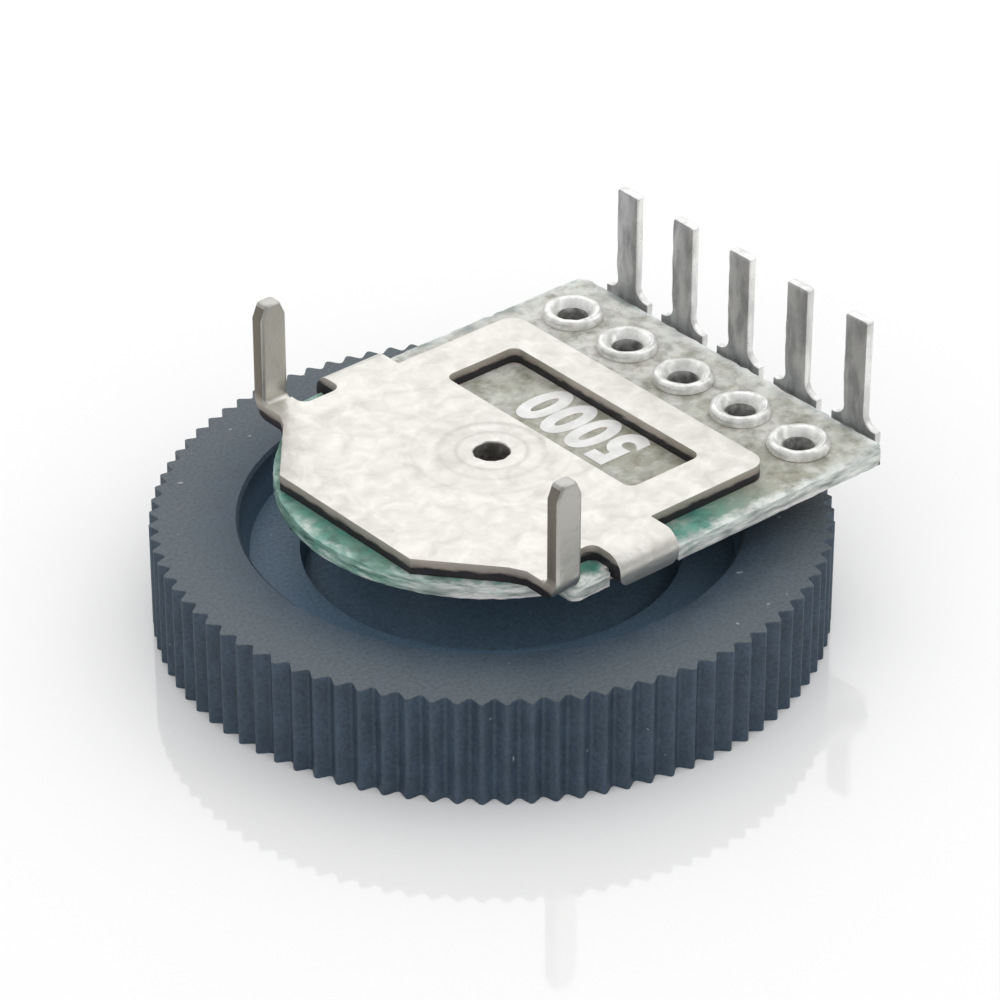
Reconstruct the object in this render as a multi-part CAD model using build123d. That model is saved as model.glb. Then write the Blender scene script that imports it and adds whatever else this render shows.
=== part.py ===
from build123d import *
import os
from math import asin, atan2, cos, degrees, hypot, radians, sin, sqrt

# Thumbwheel potentiometer, in millimetres. The wheel lies on its outer face at Z 0 and turns about Z.
# The solder pins stand at the +X end in a row along Y, and everything that is soldered points up.

# Serrated wheel
wheel_diameter = 16.0
wheel_thickness = 2.7
tooth_count = 90
tooth_depth = 0.27
tooth_crest_flat = 0.07
rim_edge_break = 0.12
wheel_bore_clearance = 0.05

# Pocket in the wheel, on the board side: a drafted wall, a ledge, and a deeper well round the hub
pocket_diameter = 11.8
pocket_edge_break = 0.08
pocket_wall_run = 0.22
ledge_depth = 0.9
well_diameter = 9.0
well_wall_run = 0.12
well_depth = 1.4
hub_diameter = 2.8
hub_gap = 0.05

# Outer face of the wheel: a shallow dish, a recess for the rivet, a slot and a round gate mark
dish_diameter = 11.3
dish_slope_width = 1.8
dish_depth = 0.35
rivet_recess_diameter = 3.2
rivet_recess_depth = 0.5
slot_start_radius = 1.75
slot_length = 2.05
slot_width = 1.35
gate_mark_diameter = 2.2
gate_mark_radius = 3.4
gate_mark_depth = 0.06

# Turning: the tracks open towards the pins, and the wipers rest this far round from +X
travel_angle = 230.0
track_overrun_angle = 5.0
wiper_rest_angle = 80.0

# Board
board_gap = 0.85
board_thickness = 0.4
board_half_width = 5.4
board_end = 7.55
board_corner_radius = 0.35
ear_half_width = 5.2
ear_start = -2.05
ear_corner_radius = 0.25
board_hole_clearance = 0.02

# Sheet-metal bracket
sheet_thickness = 0.4
bracket_nose = -4.4
bracket_nose_half_width = 2.35
bracket_shoulder = -2.95
bracket_shoulder_half_width = 4.05
bracket_body_half_width = 4.5
bracket_end = 4.55
bracket_corner_radius = 0.45
window_start = 1.35
window_width = 2.2
window_length = 6.6
window_corner_radius = 0.25
leg_start = -2.75
leg_width = 0.75
leg_inner_face = 5.05
leg_height = 2.6
leg_bend_radius = 0.12
leg_tip_chamfer = 0.16
leg_tip_chamfer_height = 0.38
relief_half_width = 4.5
relief_corner_radius = 0.25
wing_start = -0.85
wing_end = 0.9
wing_inner_face = 5.05
wing_bend_radius = 0.05
wing_drop = 0.35
wing_corner_radius = 0.25
notch_clearance = 0.05

# Pivot rivet: flared at the wheel, staked flush in the bracket, hollow from the bracket side
rivet_diameter = 1.5
rivet_bore_diameter = 0.9
rivet_flange_diameter = 1.8
rivet_flange_thickness = 0.25
rivet_flange_gap = 0.05
rivet_cup_diameter = 1.15
rivet_cup_floor_diameter = 0.9
rivet_cup_depth = 0.28
rivet_web = 0.25
stake_flare = 0.06
stake_gap = 0.01

# Terminals and eyelets
pin_count = 5
pin_pitch = 2.0
eyelet_row = 6.0
lug_thickness = 0.2
lug_width = 1.5
lug_bend_radius = 0.22
pin_width = 0.65
pin_top = 6.75
pin_shoulder = 3.93
pin_shoulder_height = 0.35
pin_tip_chamfer = 0.05
eyelet_bore_diameter = 0.68
eyelet_barrel_diameter = 1.0
eyelet_flare_diameter = 1.5
eyelet_flare_height = 0.24
eyelet_rim_height = 0.08
eyelet_crest_diameter = 1.16
eyelet_roll_bulge = 0.06
eyelet_throat_depth = 0.08
eyelet_throat_bulge = 0.05
eyelet_foot_diameter = 1.4
eyelet_foot_thickness = 0.14
eyelet_clearance = 0.02

# Printed tracks on the wheel side of the board, from the outermost inwards
print_thickness = 0.03
print_margin = 0.35
outer_resistor_radius = 4.45
outer_resistor_width = 0.6
outer_collector_width = 0.45
inner_resistor_width = 0.45
inner_collector_width = 0.45
track_gap = 0.25
end_pad_angle = 10.0
conductor_width = 0.2
conductor_lead = 1.5

# Wipers: thin sprung strips with two fingers on each track
wiper_thickness = 0.12
finger_width = 0.18
finger_spacing = 0.24
finger_reach = 1.5
finger_contact_radius = 0.3
finger_bend_radius = 0.2
finger_tip_angle = 40.0
contact_gap = 0.04
wiper_base_length = 1.1
wiper_base_margin = 0.06
seat_height = 1.2
seat_margin = 0.1
seat_corner_radius = 0.2
stake_post_diameter = 0.36
stake_post_spacing = 0.66
stake_post_clearance = 0.02
stake_head_diameter = 0.6
stake_head_thickness = 0.12

# Levels and radii that follow from the sizes above
board_underside = wheel_thickness + board_gap
board_top = board_underside + board_thickness
bracket_top = board_top + sheet_thickness
print_underside = board_underside - print_thickness
wheel_radius = wheel_diameter / 2
well_floor = wheel_thickness - well_depth
seat_top = well_floor + seat_height
rivet_recess_ceiling = dish_depth + rivet_recess_depth
hub_top = board_underside - hub_gap
wheel_bore_radius = rivet_diameter / 2 + wheel_bore_clearance
board_nose_radius = outer_resistor_radius + outer_resistor_width / 2 + print_margin
outer_track_step = (outer_resistor_width + outer_collector_width) / 2 + track_gap
middle_track_step = (outer_collector_width + inner_resistor_width) / 2 + track_gap
inner_track_step = (inner_resistor_width + inner_collector_width) / 2 + track_gap
outer_collector_radius = outer_resistor_radius - outer_track_step
inner_resistor_radius = outer_collector_radius - middle_track_step
inner_collector_radius = inner_resistor_radius - inner_track_step
mid_travel_angle = 180.0
track_start_angle = mid_travel_angle - travel_angle / 2 - track_overrun_angle
track_end_angle = mid_travel_angle + travel_angle / 2 + track_overrun_angle
rest_turn = wiper_rest_angle - mid_travel_angle
cut_margin = 0.5


def polar_point(radius, angle):
    return (radius * cos(radians(angle)), radius * sin(radians(angle)))


def upright_block(face, bottom, top):
    """A flat outline raised into a block between two levels."""
    return extrude(Pos(0, 0, bottom) * face, top - bottom)


def turned(section_edges):
    """A ring turned about Z from the edges of its half section, given as radius and level."""
    return revolve(Plane.XZ * make_face(section_edges), Axis.Z)


def round_corners(face, corners, radius):
    """Round the corners of a flat face that lie nearest to the given points."""
    picked = [min(face.vertices(), key=Vertex(*corner).distance_to) for corner in corners]
    return fillet(picked, radius)


def bent_strip(middle_line, thickness, start, width):
    """A strip bent along its middle line, which is given in Y and Z, from X start over its width."""
    section = trace(middle_line, line_width=thickness)
    return extrude(Plane.YZ.offset(start) * section, width)


def side_outline(points, depth):
    """A block with the given X and Z outline that reaches from Y 0 to its depth."""
    return extrude(Plane.XZ * make_face(Polyline(*points, close=True)), -depth)


def arc_band(radius, width, start_angle, end_angle):
    outer = CenterArc((0, 0), radius + width / 2, start_angle, end_angle - start_angle)
    inner = CenterArc((0, 0), radius - width / 2, start_angle, end_angle - start_angle)
    return make_face([outer, inner, Line(outer @ 0, inner @ 0), Line(outer @ 1, inner @ 1)])


def wheel_blank():
    """The turned form of the wheel, oversize at the rim, where the serration cuts it to size."""
    dish_radius = dish_diameter / 2
    pocket_radius = pocket_diameter / 2
    ledge_level = wheel_thickness - ledge_depth
    over = rim_edge_break + cut_margin
    dish_rim = (dish_radius, 0)
    dish_floor = (dish_radius - dish_slope_width, dish_depth)
    outline = Polyline(
        dish_rim,
        (wheel_radius - rim_edge_break, 0),
        (wheel_radius + cut_margin, over),
        (wheel_radius + cut_margin, wheel_thickness - over),
        (wheel_radius - rim_edge_break, wheel_thickness),
        (pocket_radius + pocket_edge_break, wheel_thickness),
        (pocket_radius, wheel_thickness - pocket_edge_break),
        (pocket_radius - pocket_wall_run, ledge_level),
        (well_diameter / 2, ledge_level),
        (well_diameter / 2 - well_wall_run, well_floor),
        (hub_diameter / 2, well_floor),
        (hub_diameter / 2, hub_top),
        (wheel_bore_radius, hub_top),
        (wheel_bore_radius, rivet_recess_ceiling),
        (rivet_recess_diameter / 2, rivet_recess_ceiling),
        (rivet_recess_diameter / 2, dish_depth),
        dish_floor,
    )
    return turned([outline, TangentArc(dish_floor, dish_rim, tangent=(1, 0))])


def serration():
    """A star-shaped prism: V grooves between narrow crests, all round the rim."""
    pitch = 360 / tooth_count
    half_crest = degrees(tooth_crest_flat / wheel_diameter)
    points = []
    for tooth in range(tooth_count):
        middle = tooth * pitch
        points.append(polar_point(wheel_radius, middle - half_crest))
        points.append(polar_point(wheel_radius, middle + half_crest))
        points.append(polar_point(wheel_radius - tooth_depth, middle + pitch / 2))
    return upright_block(make_face(Polyline(*points, close=True)), -cut_margin, hub_top + cut_margin)


def wiper_span(resistor_radius, collector_radius):
    """Inner and outer radius of a wiper's base, which carries the fingers for two tracks."""
    reach = finger_spacing / 2 + finger_width / 2 + wiper_base_margin
    return collector_radius - reach, resistor_radius + reach


outer_span = wiper_span(outer_resistor_radius, outer_collector_radius)
inner_span = wiper_span(inner_resistor_radius, inner_collector_radius)
base_front = -finger_reach
base_back = -finger_reach - wiper_base_length


def post_centres(span):
    middle = (span[0] + span[1]) / 2
    y = (base_front + base_back) / 2
    return [(-middle - stake_post_spacing / 2, y), (-middle + stake_post_spacing / 2, y)]


def wiper_seat():
    """The raised pad that both wipers lie on, with its staked posts."""
    outer_edge = -outer_span[1] - seat_margin
    inner_edge = -inner_span[0] + seat_margin
    width = inner_edge - outer_edge
    length = wiper_base_length + 2 * seat_margin
    outline = Pos((outer_edge + inner_edge) / 2, (base_front + base_back) / 2) * RectangleRounded(
        width, length, seat_corner_radius
    )
    pad = upright_block(outline, well_floor, seat_top)
    pad &= upright_block(Circle(pocket_diameter / 2 - pocket_wall_run - seat_margin), 0, seat_top)
    wiper_face = seat_top + wiper_thickness
    for centre in post_centres(outer_span) + post_centres(inner_span):
        post = upright_block(Circle(stake_post_diameter / 2), seat_top, wiper_face)
        head = Circle(stake_head_diameter / 2)
        head = upright_block(head, wiper_face, wiper_face + stake_head_thickness)
        pad += Pos(*centre) * (post + head)
    return pad


def thumbwheel():
    wheel = wheel_blank() & serration()
    wheel += wiper_seat()
    slot = Pos(-slot_start_radius - slot_length / 2, 0) * Rectangle(slot_length, slot_width)
    wheel -= upright_block(slot, -cut_margin, well_floor + cut_margin)
    mark = upright_block(Circle(gate_mark_diameter / 2), 0, dish_depth + gate_mark_depth)
    wheel -= Pos(gate_mark_radius, 0) * mark
    return Rot(0, 0, rest_turn) * wheel


def wiper(resistor_radius, collector_radius):
    """A base plate on the seat with four fingers that rise to the two tracks."""
    span = wiper_span(resistor_radius, collector_radius)
    plate = Pos(-(span[0] + span[1]) / 2, (base_front + base_back) / 2) * Rectangle(
        span[1] - span[0], wiper_base_length
    )
    piece = upright_block(plate, seat_top, seat_top + wiper_thickness)
    hole = Circle(stake_post_diameter / 2 + stake_post_clearance)
    for centre in post_centres(span):
        piece -= Pos(*centre) * upright_block(hole, seat_top - cut_margin, seat_top + cut_margin)
    base_level = seat_top + wiper_thickness / 2
    turn_level = print_underside - contact_gap - wiper_thickness / 2 - finger_contact_radius
    rise = turn_level - base_level
    distance = hypot(finger_reach, rise)
    slope = atan2(rise, finger_reach) + asin(finger_contact_radius / distance)
    run = sqrt(distance**2 - finger_contact_radius**2)
    touch = (base_front + run * cos(slope), base_level + run * sin(slope))
    start = (base_front - finger_bend_radius * 2, base_level)
    arm = FilletPolyline(start, (base_front, base_level), touch, radius=finger_bend_radius)
    knuckle_angle = 90 + degrees(slope) - finger_tip_angle
    knuckle = CenterArc((0, turn_level), finger_contact_radius, finger_tip_angle, knuckle_angle)
    for radius in (resistor_radius, collector_radius):
        for side in (-1, 1):
            edge = side * finger_spacing / 2 - radius - finger_width / 2
            piece += bent_strip(Curve() + [arm, knuckle], wiper_thickness, edge, finger_width)
    return Rot(0, 0, rest_turn) * piece


def resistor_board():
    """Glass-epoxy board: a round nose about the axis, an ear, a notch for the wing and a square end."""
    nose = Circle(board_nose_radius) & Pos(-board_nose_radius / 2, 0) * Rectangle(
        board_nose_radius, 2 * board_half_width
    )
    ear_end = wing_end + notch_clearance
    ears = Pos((ear_start + ear_end) / 2, 0) * Rectangle(ear_end - ear_start, 2 * ear_half_width)
    ear_corners = [(ear_start, -ear_half_width), (ear_start, ear_half_width)]
    ears = round_corners(ears, ear_corners, ear_corner_radius)
    body = Pos((ear_end + board_end) / 2, 0) * Rectangle(board_end - ear_end, 2 * board_half_width)
    body_corners = [(board_end, -board_half_width), (board_end, board_half_width)]
    body = round_corners(body, body_corners, board_corner_radius)
    outline = nose + ears + body
    wing_middle = (wing_start + wing_end) / 2
    wing_width = wing_end - wing_start + 2 * notch_clearance
    for side in (-1, 1):
        notch_edge = wing_inner_face - notch_clearance
        depth = board_half_width - notch_edge + cut_margin
        outline -= Pos(wing_middle, side * (notch_edge + depth / 2)) * Rectangle(wing_width, depth)
    board = upright_block(outline, board_underside, board_top)
    holes = [(0, 0, rivet_diameter / 2 + board_hole_clearance)]
    for y in pin_rows():
        holes.append((eyelet_row, y, eyelet_barrel_diameter / 2 + eyelet_clearance))
    for x, y, radius in holes:
        drill = upright_block(Circle(radius), board_underside - cut_margin, board_top + cut_margin)
        board -= Pos(x, y) * drill
    return board


def pin_rows():
    """Y of each pin, the first at +Y."""
    return [pin_pitch * ((pin_count - 1) / 2 - number) for number in range(pin_count)]


def bracket_plate():
    """The flat part of the bracket, with its window, rounded reliefs and rivet hole."""
    leg_end = leg_start + leg_width
    leg_line = leg_inner_face - leg_bend_radius
    wing_line = wing_inner_face - wing_bend_radius
    half = [
        (bracket_nose, 0),
        (bracket_nose, bracket_nose_half_width),
        (bracket_shoulder, bracket_shoulder_half_width),
        (leg_start, bracket_shoulder_half_width + leg_width / 2),
        (leg_start, leg_line),
        (leg_end, leg_line),
        (leg_end, relief_half_width),
        (wing_start, relief_half_width),
        (wing_start, wing_line),
        (wing_end, wing_line),
        (wing_end, bracket_body_half_width),
        (bracket_end, bracket_body_half_width),
        (bracket_end, 0),
    ]
    outline = make_face(Polyline(*half, close=True))
    outline = round_corners(outline, [(bracket_end, bracket_body_half_width)], bracket_corner_radius)
    relief_corners = [(leg_end, relief_half_width), (wing_start, relief_half_width)]
    outline = round_corners(outline, relief_corners, relief_corner_radius)
    outline += mirror(outline, about=Plane.XZ)
    window = Pos(window_start + window_width / 2, 0) * RectangleRounded(
        window_width, window_length, window_corner_radius
    )
    plate = upright_block(outline - window, board_top, bracket_top)
    throat = rivet_diameter / 2
    rivet_hole = Polyline(
        (0, board_top - cut_margin),
        (throat, board_top - cut_margin),
        (throat, bracket_top - stake_flare),
        (throat + stake_flare, bracket_top),
        (0, bracket_top),
        close=True,
    )
    return plate - turned([rivet_hole])


def bracket_leg():
    """One leg, bent up at +Y, with its tip narrowed."""
    middle = board_top + sheet_thickness / 2
    upright = leg_inner_face + sheet_thickness / 2
    tip = bracket_top + leg_height
    start = leg_inner_face - leg_bend_radius - sheet_thickness
    line = FilletPolyline(
        (start, middle), (upright, middle), (upright, tip), radius=leg_bend_radius + sheet_thickness / 2
    )
    strip = bent_strip(line, sheet_thickness, leg_start, leg_width)
    leg_end = leg_start + leg_width
    outline = [
        (leg_start, board_top),
        (leg_end, board_top),
        (leg_end, tip - leg_tip_chamfer_height),
        (leg_end - leg_tip_chamfer, tip),
        (leg_start + leg_tip_chamfer, tip),
        (leg_start, tip - leg_tip_chamfer_height),
    ]
    return strip & side_outline(outline, leg_inner_face + sheet_thickness + cut_margin)


def bracket_wing():
    """One wing, bent down over the edge of the board at +Y."""
    middle = board_top + sheet_thickness / 2
    upright = wing_inner_face + sheet_thickness / 2
    foot = board_top - wing_drop
    start = wing_inner_face - wing_bend_radius - sheet_thickness
    line = FilletPolyline(
        (start, middle), (upright, middle), (upright, foot), radius=wing_bend_radius + sheet_thickness / 2
    )
    strip = bent_strip(line, sheet_thickness, wing_start, wing_end - wing_start)
    outline = Rectangle(wing_end - wing_start, bracket_top - foot)
    outline = Pos((wing_start + wing_end) / 2, (foot + bracket_top) / 2) * outline
    outline = round_corners(outline, [(wing_start, foot), (wing_end, foot)], wing_corner_radius)
    return strip & extrude(Plane.XZ * outline, -(wing_inner_face + sheet_thickness + cut_margin))


def mounting_bracket():
    bracket = bracket_plate()
    for bend in (bracket_leg(), bracket_wing()):
        bracket += bend + mirror(bend, about=Plane.XZ)
    return bracket


def pivot_rivet():
    """Tubular rivet with a cup at the wheel and a bore from the bracket, closed by a web."""
    shank = rivet_diameter / 2 - stake_gap
    flange_top = rivet_recess_ceiling - rivet_flange_gap
    flange_bottom = flange_top - rivet_flange_thickness
    cup_floor = flange_bottom + rivet_cup_depth
    bore = rivet_bore_diameter / 2
    section = Polyline(
        (0, cup_floor),
        (rivet_cup_floor_diameter / 2, cup_floor),
        (rivet_cup_diameter / 2, flange_bottom),
        (rivet_flange_diameter / 2, flange_bottom + rivet_flange_thickness / 2),
        (rivet_flange_diameter / 2, flange_top),
        (shank, flange_top),
        (shank, bracket_top - stake_flare),
        (shank + stake_flare, bracket_top),
        (bore, bracket_top),
        (bore, cup_floor + rivet_web),
        (0, cup_floor + rivet_web),
        close=True,
    )
    return turned([section])


def terminal(y):
    """A lug under the board that bends up past its end and narrows into a pin."""
    lug_underside = print_underside - lug_thickness
    middle = print_underside - lug_thickness / 2
    upright = board_end + lug_bend_radius + lug_thickness / 2
    bend_radius = lug_bend_radius + lug_thickness / 2
    corners = [(eyelet_row, middle), (upright, middle), (upright, pin_top)]
    line = FilletPolyline(*corners, radius=bend_radius)
    section = Plane.XZ * trace(line, line_width=lug_thickness)
    strip = extrude(section, lug_width / 2, both=True)
    half_lug = lug_width / 2
    half_pin = pin_width / 2
    neck = (half_pin, pin_shoulder + pin_shoulder_height)
    lug_corner = (half_lug, pin_shoulder)
    pin_edge = Polyline(
        neck, (half_pin, pin_top - pin_tip_chamfer), (half_pin - pin_tip_chamfer, pin_top), (0, pin_top)
    )
    lug_edge = Polyline((0, pin_top), (0, lug_underside), (half_lug, lug_underside), lug_corner)
    outline = make_face([TangentArc(neck, lug_corner, tangent=(0, -1)), pin_edge, lug_edge])
    outline += mirror(outline, about=Plane.YZ)
    strip &= extrude(Plane.YZ * outline, board_end + lug_width)
    lug = Pos(eyelet_row, 0) * upright_block(Circle(half_lug), lug_underside, print_underside)
    hole = Circle(eyelet_barrel_diameter / 2 + eyelet_clearance)
    strip += lug
    strip -= Pos(eyelet_row, 0) * upright_block(hole, 0, board_underside)
    return Pos(0, y) * strip


def eyelet(y):
    """A hollow rivet: a foot under the lug, a barrel, and a rolled flare on the board."""
    foot_top = print_underside - lug_thickness
    foot = foot_top - eyelet_foot_thickness
    crest = (eyelet_crest_diameter / 2, board_top + eyelet_flare_height)
    rim = (eyelet_flare_diameter / 2, board_top + eyelet_rim_height)
    throat = (eyelet_bore_diameter / 2, board_top - eyelet_throat_depth)
    sides = Polyline(
        throat,
        (eyelet_bore_diameter / 2, foot),
        (eyelet_foot_diameter / 2, foot),
        (eyelet_foot_diameter / 2, foot_top),
        (eyelet_barrel_diameter / 2, foot_top),
        (eyelet_barrel_diameter / 2, board_top),
        (eyelet_flare_diameter / 2, board_top),
        rim,
    )
    roll = SagittaArc(rim, crest, -eyelet_roll_bulge)
    funnel = SagittaArc(crest, throat, -eyelet_throat_bulge)
    return Pos(eyelet_row, y) * turned([sides, roll, funnel])


def printed(face):
    return upright_block(face, print_underside, board_underside)


def eyelet_pad(y):
    """Printed land round an eyelet hole, under the lug."""
    return Pos(eyelet_row, y) * (
        Circle(lug_width / 2) - Circle(eyelet_barrel_diameter / 2 + eyelet_clearance)
    )


def conductor(radius, angle, y):
    """A printed line from a point on a track to the land of the pin at this Y."""
    bend = (eyelet_row - conductor_lead, y)
    land_edge = (eyelet_row - eyelet_foot_diameter / 2, y)
    route = Polyline(polar_point(radius, angle), bend, land_edge)
    return trace(route, line_width=conductor_width) + eyelet_pad(y)


def collector(radius, width, exit_angle, y):
    """A collector track with its line to a pin."""
    band = arc_band(radius, width, track_start_angle, track_end_angle)
    return printed(band + conductor(radius, exit_angle, y))


def end_conductors():
    """The high end of each resistor track, and the shared low end of both."""
    rows = pin_rows()
    pad_start = track_start_angle - end_pad_angle
    pad_end = track_end_angle + end_pad_angle
    pieces = []
    high_ends = [
        (outer_resistor_radius, outer_resistor_width, rows[0]),
        (inner_resistor_radius, inner_resistor_width, rows[2]),
    ]
    for radius, width, y in high_ends:
        pad = arc_band(radius, width, pad_start, track_start_angle)
        line = conductor(radius, pad_start + end_pad_angle / 2, y)
        pieces.append(printed(pad + line))
    outer_pad = arc_band(outer_resistor_radius, outer_resistor_width, track_end_angle, pad_end)
    inner_pad = arc_band(inner_resistor_radius, inner_resistor_width, track_end_angle, pad_end)
    bar_radius = (outer_resistor_radius + inner_resistor_radius) / 2
    bar = arc_band(
        bar_radius, outer_resistor_radius - inner_resistor_radius, pad_end - end_pad_angle / 2, pad_end
    )
    line = conductor(outer_resistor_radius, pad_end - end_pad_angle / 2, rows[4])
    pieces.append(printed(outer_pad + inner_pad + bar + line))
    return Compound(children=pieces)


def build_nodes():
    rows = pin_rows()
    nodes = {
        "thumbwheel": thumbwheel(),
        "outer_wiper": wiper(outer_resistor_radius, outer_collector_radius),
        "inner_wiper": wiper(inner_resistor_radius, inner_collector_radius),
        "mounting_bracket": mounting_bracket(),
        "resistor_board": resistor_board(),
        "pivot_rivet": pivot_rivet(),
        "end_conductors": end_conductors(),
    }
    for name, radius, width in (
        ("outer_resistor_track", outer_resistor_radius, outer_resistor_width),
        ("inner_resistor_track", inner_resistor_radius, inner_resistor_width),
    ):
        nodes[name] = printed(arc_band(radius, width, track_start_angle, track_end_angle))
    nodes["outer_collector_track"] = collector(
        outer_collector_radius, outer_collector_width, track_start_angle, rows[1]
    )
    nodes["inner_collector_track"] = collector(
        inner_collector_radius, inner_collector_width, track_end_angle, rows[3]
    )
    for number, y in enumerate(rows, start=1):
        nodes[f"terminal_{number}"] = terminal(y)
        nodes[f"eyelet_{number}"] = eyelet(y)
    return nodes


os.makedirs("parts", exist_ok=True)
for name, solid in build_nodes().items():
    export_step(solid, f"parts/{name}.step")
    print(name, round(solid.volume, 3))
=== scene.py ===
# Thumbwheel potentiometer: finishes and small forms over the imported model.
import math

import bmesh
import bpy
from mathutils import Matrix, Vector, kdtree, noise


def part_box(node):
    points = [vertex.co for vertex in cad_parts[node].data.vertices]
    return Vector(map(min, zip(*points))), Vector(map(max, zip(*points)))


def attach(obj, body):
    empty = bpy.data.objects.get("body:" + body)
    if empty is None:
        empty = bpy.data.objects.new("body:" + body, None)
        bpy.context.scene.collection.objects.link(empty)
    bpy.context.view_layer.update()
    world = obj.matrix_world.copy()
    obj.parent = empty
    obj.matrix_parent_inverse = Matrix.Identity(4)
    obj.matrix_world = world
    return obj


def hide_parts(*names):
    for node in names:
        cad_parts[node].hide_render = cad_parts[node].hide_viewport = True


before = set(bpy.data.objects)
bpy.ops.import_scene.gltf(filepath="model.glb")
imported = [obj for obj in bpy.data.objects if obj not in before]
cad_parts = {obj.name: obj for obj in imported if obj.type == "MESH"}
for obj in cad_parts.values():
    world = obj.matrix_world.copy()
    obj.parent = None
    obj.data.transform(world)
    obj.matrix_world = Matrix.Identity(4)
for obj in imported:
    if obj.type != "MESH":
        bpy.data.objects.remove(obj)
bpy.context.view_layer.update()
scene = bpy.context.scene
scene.view_settings.view_transform = "Standard"
mm = 0.001  # meshes are shaped in millimetres and brought to metres at the end
print("frame loaded with", len(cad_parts), "nodes")


def linear(hexText):  # sRGB hex to the linear colour that a node takes
    parts = [int(hexText[i:i + 2], 16) / 255 for i in (1, 3, 5)]
    return tuple(p / 12.92 if p <= 0.04045 else ((p + 0.055) / 1.055) ** 2.4 for p in parts) + (1.0,)


def socketOf(sockets, key):  # by its place, or by its name among those that the node uses
    if isinstance(key, int):
        return sockets[key]
    return next(s for s in sockets if s.enabled and s.name == key)


def joinSockets(tree, node, links):  # an input takes a socket, or the first output that a node uses
    for key, source in links.items():
        output = next(s for s in source.outputs if s.enabled) if hasattr(source, "outputs") else source
        tree.links.new(output, socketOf(node.inputs, key))


def addNode(tree, kind, settings=None, links=None):  # a node with its settings, then its links
    node = tree.nodes.new(kind)
    pairs = {"reads": ("From Min", "From Max"), "gives": ("To Min", "To Max")}
    for key, value in (settings or {}).items():
        if key == "stops":  # place and colour along a ramp
            while len(node.color_ramp.elements) < len(value):
                node.color_ramp.elements.new(1.0)
            for element, (place, colour) in zip(node.color_ramp.elements, value):
                element.position = place
                element.color = linear(colour)
        elif key in pairs:  # both ends of what a range reads or gives
            for name, end in zip(pairs[key], value):
                socketOf(node.inputs, name).default_value = end
        elif isinstance(key, int) or key in node.inputs:
            socketOf(node.inputs, key).default_value = value
        else:
            setattr(node, key, value)
    joinSockets(tree, node, links or {})
    return node


def startMaterial(name, surface):  # a shader, and Object coordinates in millimetres
    material = bpy.data.materials.new(name)
    material.use_nodes = True
    tree = material.node_tree
    tree.nodes.clear()
    shader = addNode(tree, "ShaderNodeBsdfPrincipled", surface)
    addNode(tree, "ShaderNodeOutputMaterial", {}, {"Surface": shader})
    coords = addNode(tree, "ShaderNodeTexCoord")
    scaled = {"operation": "SCALE", "Scale": 1 / mm}
    place = addNode(tree, "ShaderNodeVectorMath", scaled, {0: coords.outputs["Object"]})
    return material, tree, shader, place


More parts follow.
